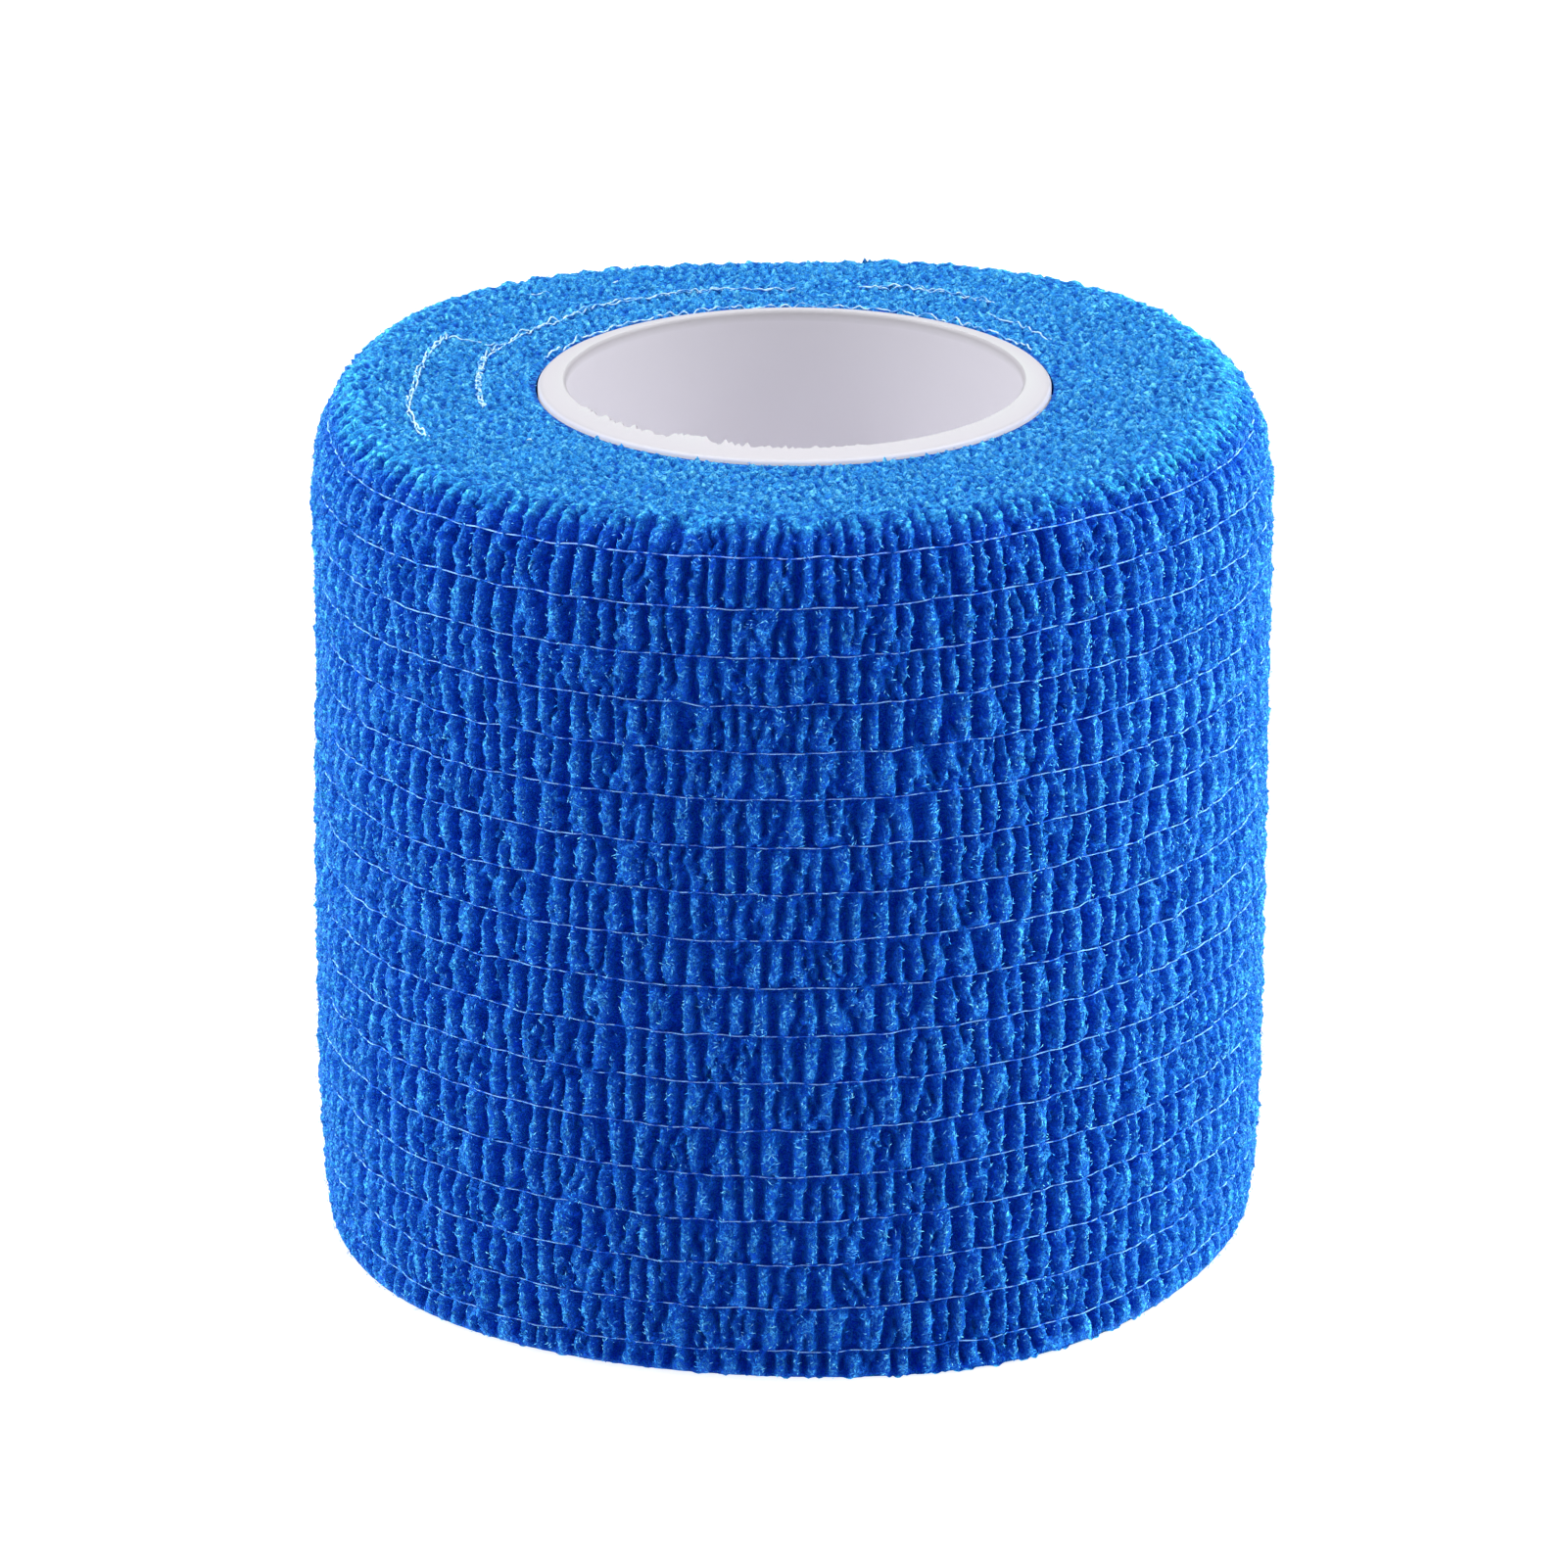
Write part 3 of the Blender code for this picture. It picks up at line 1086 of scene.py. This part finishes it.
@dataclass(frozen=True)
class CrinkledNonwoven:
    """Spunbond polyester cloth, dyed blue and coated with self-gripping latex.

    Its fibres scatter light without gloss, and their loose ends catch it at the roll's
    sides, so the cloth looks matte in front and brighter at the outline. Its colour holds
    painted shade, darker down in a groove, in the pinch at each thread and in the pits of
    the end faces, and a painted highlight on the crests' tips, over a random mottle that
    also stands in for shade in the fuzz. The end face is paler, partly from the strip's
    cut edges and partly as a painted highlight for the stronger light from above.
    """

    # Side and end-face colours: painted shade in a groove or pit, the crest's own blue, and a pale
    # tip with a painted highlight
    groove: tuple[str, str] = ("#0012b0", "#0236b4")
    crest: tuple[str, str] = ("#1250e6", "#38a6ff")
    tip_highlight: tuple[str, str] = ("#4492ee", "#68c8ff")
    web_width: float = 0.3
    fibre_width: float = 0.14
    grain_width: float = 0.42
    web_bump: float = 0.06
    groove_mottle: float = 0.24
    crest_mottle: float = 0.28
    tip_from: float = 0.95
    tip_to: float = 1.5
    sheen: str = "#2cb8ff"
    shine: str = "#34ffff"

    def material(self) -> bpy.types.Material:
        """Return the cloth's material."""
        material, tree, surface = new_surface("crinkled_nonwoven_polyester")
        place = add_node(tree, "ShaderNodeTexCoord").outputs["Object"]
        relief = add_node(tree, "ShaderNodeAttribute", attribute_name="relief").outputs["Fac"]
        cut = add_node(tree, "ShaderNodeAttribute", attribute_name="cut").outputs["Fac"]
        widths = (self.web_width, self.fibre_width, self.grain_width)
        web_look = {"Vector": place, "Detail": 2.0, "Roughness": 0.6, "Distortion": 0.8}
        looks = [{**web_look, "Scale": 1.0 / (width * MM)} for width in widths]
        web, fibres, grain = [
            add_node(tree, "ShaderNodeTexNoise", look).outputs["Fac"] for look in looks
        ]
        webs = {0: cut, 2: web, 3: grain}
        coarse = add_node(tree, "ShaderNodeMix", webs, data_type="FLOAT").outputs[0]
        both = add_node(tree, "ShaderNodeMath", {0: coarse, 1: fibres}, operation="ADD").outputs[0]
        spread = {"Value": both, "From Min": 0.85, "From Max": 1.15, "To Min": -1.0}
        mottle = add_node(tree, "ShaderNodeMapRange", spread).outputs["Result"]
        scaled = {0: relief, 1: self.crest_mottle, 2: self.groove_mottle}
        weight = add_node(tree, "ShaderNodeMath", scaled, operation="MULTIPLY_ADD").outputs[0]
        mottled = {0: mottle, 1: weight, 2: relief}
        height = add_node(tree, "ShaderNodeMath", mottled, operation="MULTIPLY_ADD").outputs[0]
        # The end face's colours are paler, partly for its cut edges and partly as a painted
        # highlight
        shades = [
            {0: cut, 6: linear(side), 7: linear(end)}
            for side, end in (self.groove, self.crest, self.tip_highlight)
        ]
        groove, crest, tip_highlight = [
            add_node(tree, "ShaderNodeMix", shade, data_type="RGBA").outputs[2] for shade in shades
        ]
        # Painted shade where the relief mark is low, and a painted highlight on the tips where it
        # and the mottle are high
        rising = {0: height, 6: groove, 7: crest}
        body = add_node(tree, "ShaderNodeMix", rising, data_type="RGBA").outputs[2]
        reach = {"Value": height, "From Min": self.tip_from, "From Max": self.tip_to}
        highlight_share = add_node(tree, "ShaderNodeMapRange", reach).outputs["Result"]
        topped = {0: highlight_share, 6: body, 7: tip_highlight}
        colour = add_node(tree, "ShaderNodeMix", topped, data_type="RGBA").outputs[2]
        raised = {"Height": mottle, "Strength": 1.0, "Distance": self.web_bump * MM}
        bump = add_node(tree, "ShaderNodeBump", raised).outputs["Normal"]
        tree.links.new(colour, surface.inputs["Base Color"])
        tree.links.new(bump, surface.inputs["Normal"])
        surface.inputs["Roughness"].default_value = 0.6
        surface.inputs["Specular IOR Level"].default_value = 0.3
        surface.inputs["Specular Tint"].default_value = linear(self.shine)
        surface.inputs["Sheen Weight"].default_value = 0.4
        surface.inputs["Sheen Roughness"].default_value = 0.3
        surface.inputs["Sheen Tint"].default_value = linear(self.sheen)
        return material


@dataclass(frozen=True)
class PatchyFibre:
    """Fibre or yarn whose colour changes softly from patch to patch.

    Args:
        name: The material's name.
        bare: Its colour in one patch.
        covered: Its colour in the next.
        patch: Size of a patch, in millimetres.
        spread: Where the noise starts and ends the change.
        roughness: From 0, glossy, to 1, dull.
    """

    name: str
    bare: str
    covered: str
    patch: float
    spread: tuple[float, float]
    roughness: float

    def material(self) -> bpy.types.Material:
        """Return the fibre's material."""
        material, tree, surface = new_surface(self.name)
        place = add_node(tree, "ShaderNodeTexCoord").outputs["Object"]
        look = {"Vector": place, "Scale": 1.0 / (self.patch * MM), "Detail": 2.0}
        patches = add_node(tree, "ShaderNodeTexNoise", look).outputs["Fac"]
        change = {"Value": patches, "From Min": self.spread[0], "From Max": self.spread[1]}
        share = add_node(tree, "ShaderNodeMapRange", change).outputs["Result"]
        ends = {0: share, 6: linear(self.bare), 7: linear(self.covered)}
        colour = add_node(tree, "ShaderNodeMix", ends, data_type="RGBA").outputs[2]
        tree.links.new(colour, surface.inputs["Base Color"])
        surface.inputs["Roughness"].default_value = self.roughness
        surface.inputs["Specular IOR Level"].default_value = 0.05
        return material


@dataclass(frozen=True)
class LooseFibre(PatchyFibre):
    """Single polyester fibres of the same cloth.

    Each is painted paler than the cloth under it, a painted highlight for the light that
    catches along its length.
    """

    name: str = "loose_polyester_fibre"
    # Both colours are paler than the cloth, as a painted highlight
    bare: str = "#2c8cff"
    covered: str = "#80c8ff"
    patch: float = 0.6
    spread: tuple[float, float] = (0.42, 0.66)
    roughness: float = 0.6


@dataclass(frozen=True)
class CoveredYarn(PatchyFibre):
    """Elastane yarn in the strip, milky and slightly lilac.

    It shows as a fine pale line, broken up where the cloth's fibres lie over it.
    """

    name: str = "elastane_yarn_under_fibres"
    bare: str = "#8cb4ff"
    covered: str = "#1c5ae0"
    patch: float = 0.5
    spread: tuple[float, float] = (0.45, 0.6)
    roughness: float = 0.65


@dataclass(frozen=True)
class BareYarn(CoveredYarn):
    """The same yarn where an end face lets it out, so it is nearly white."""

    name: str = "bare_elastane_yarn"
    bare: str = "#c8ecfc"
    covered: str = "#60acf0"


@dataclass(frozen=True)
class ExtrudedPlastic:
    """White polyethylene tube, extruded and sawn to length.

    Its wall is smooth and a little glossy. Its sawn rim is painted grey, a painted shade that holds
    its brightly lit top below white.
    """

    wall: str = "#eceaf1"
    # Painted shade: the rim is grey so that its top, lit strongly from above, doesn't turn white
    rim: str = "#b8b6bc"

    def material(self) -> bpy.types.Material:
        """Return the plastic's material."""
        material, tree, surface = new_surface("extruded_white_polyethylene")
        place = add_node(tree, "ShaderNodeTexCoord").outputs["Object"]
        sawn = add_node(tree, "ShaderNodeAttribute", attribute_name="sawn").outputs["Fac"]
        ends = {0: sawn, 6: linear(self.wall), 7: linear(self.rim)}
        colour = add_node(tree, "ShaderNodeMix", ends, data_type="RGBA").outputs[2]
        tree.links.new(colour, surface.inputs["Base Color"])
        look = {"Vector": place, "Scale": 1.0 / (2.5 * MM), "Detail": 3.0}
        cloud = add_node(tree, "ShaderNodeTexNoise", look).outputs["Fac"]
        raised = {"Height": cloud, "Strength": 0.08, "Distance": 0.05 * MM}
        bump = add_node(tree, "ShaderNodeBump", raised).outputs["Normal"]
        tree.links.new(bump, surface.inputs["Normal"])
        surface.inputs["Roughness"].default_value = 0.45
        surface.inputs["IOR"].default_value = 1.51
        return material


@dataclass(frozen=True)
class StudioFloor:
    """A pale acrylic board, lit evenly from below too."""

    half_size: float = 4000.0
    gap: float = 0.02
    colour: str = "#989898"
    glow: float = 0.85

    def build(self) -> bpy.types.Object:
        """Build the floor, which isn't part of the object."""
        corners = np.array([[-1.0, -1.0], [1.0, -1.0], [1.0, 1.0], [-1.0, 1.0]]) * self.half_size
        points = np.column_stack([corners, np.full(4, -self.gap)])
        floor = add_mesh("floor", points, np.array([[0, 1, 2, 3]]))
        material, _, surface = new_surface("matte_white_acrylic_board")
        surface.inputs["Base Color"].default_value = linear(self.colour)
        surface.inputs["Roughness"].default_value = 0.9
        surface.inputs["Emission Color"].default_value = (1.0, 1.0, 1.0, 1.0)
        surface.inputs["Emission Strength"].default_value = self.glow
        floor.data.materials.append(material)
        return floor


@dataclass(frozen=True)
class Softbox:
    """A rectangular studio light that faces the roll."""

    name: str
    place: tuple[float, float, float]
    size: tuple[float, float]
    watts: float
    tint: tuple[float, float, float] = (1.0, 1.0, 1.0)
    aim_height: float = 25.0

    def build(self) -> bpy.types.Object:
        """Build the light."""
        data = bpy.data.lights.new(self.name, "AREA")
        data.shape = "RECTANGLE"
        data.size = self.size[0] * MM
        data.size_y = self.size[1] * MM
        data.energy = self.watts
        data.color = self.tint
        light = bpy.data.objects.new(self.name, data)
        light.location = Vector(self.place) * MM
        toward = Vector((0.0, 0.0, self.aim_height)) * MM - light.location
        light.rotation_euler = toward.to_track_quat("-Z", "Y").to_euler()
        light.visible_camera = False
        bpy.context.scene.collection.objects.link(light)
        return light


@dataclass(frozen=True)
class Studio:
    """The camera and light that match the photograph's view."""

    form: RollForm
    camera_height: float = 191.5
    camera_back: float = 451.2
    camera_side: float = -0.2
    target_height: float = 25.44
    lens: float = 190.5
    sensor: float = 36.0
    lights: tuple[Softbox, ...] = (
        Softbox("top_softbox", (0.0, 90.0, 900.0), (2900.0, 400.0), 22.0),
        Softbox("left_softbox", (-700.0, 150.0, 23.0), (900.0, 46.0), 15.0, (0.52, 1.0, 0.58)),
        Softbox("right_softbox", (700.0, 150.0, 23.0), (900.0, 46.0), 22.5, (0.52, 1.0, 0.58)),
    )
    sky: float = 0.5

    def build(self) -> None:
        """Build the floor, lights, surroundings and camera."""
        StudioFloor().build()
        for light in self.lights:
            light.build()
        world = bpy.data.worlds.new("studio")
        world.use_nodes = True
        background = world.node_tree.nodes["Background"]
        background.inputs["Color"].default_value = (1.0, 1.0, 1.0, 1.0)
        background.inputs["Strength"].default_value = self.sky
        scene = bpy.context.scene
        scene.world = world
        scene.view_settings.view_transform = "Standard"
        axis = self.form.axis()
        data = bpy.data.cameras.new("camera")
        data.lens = self.lens
        data.sensor_width = self.sensor
        camera = bpy.data.objects.new("camera", data)
        across = axis[0] + self.camera_side
        place = Vector((across, axis[1] - self.camera_back, self.camera_height))
        target = Vector((across, axis[1], self.target_height))
        camera.location = place * MM
        camera.rotation_euler = (target - place).to_track_quat("-Z", "Y").to_euler()
        scene.collection.objects.link(camera)
        scene.camera = camera


def main() -> None:
    """Build the roll and its studio, and report each piece."""
    logging.basicConfig(level=logging.INFO, format="%(message)s")
    form = RollForm()
    cloth = PleatedCloth(form)
    cloth.build(CrinkledNonwoven())
    ElasticThreads(cloth).build(CoveredYarn())
    StrayYarn(cloth).build(BareYarn())
    LooseFibres(cloth).build(LooseFibre())
    CoreTube(form).build(ExtrudedPlastic())
    Studio(form).build()


if __name__ == "__main__":
    main()
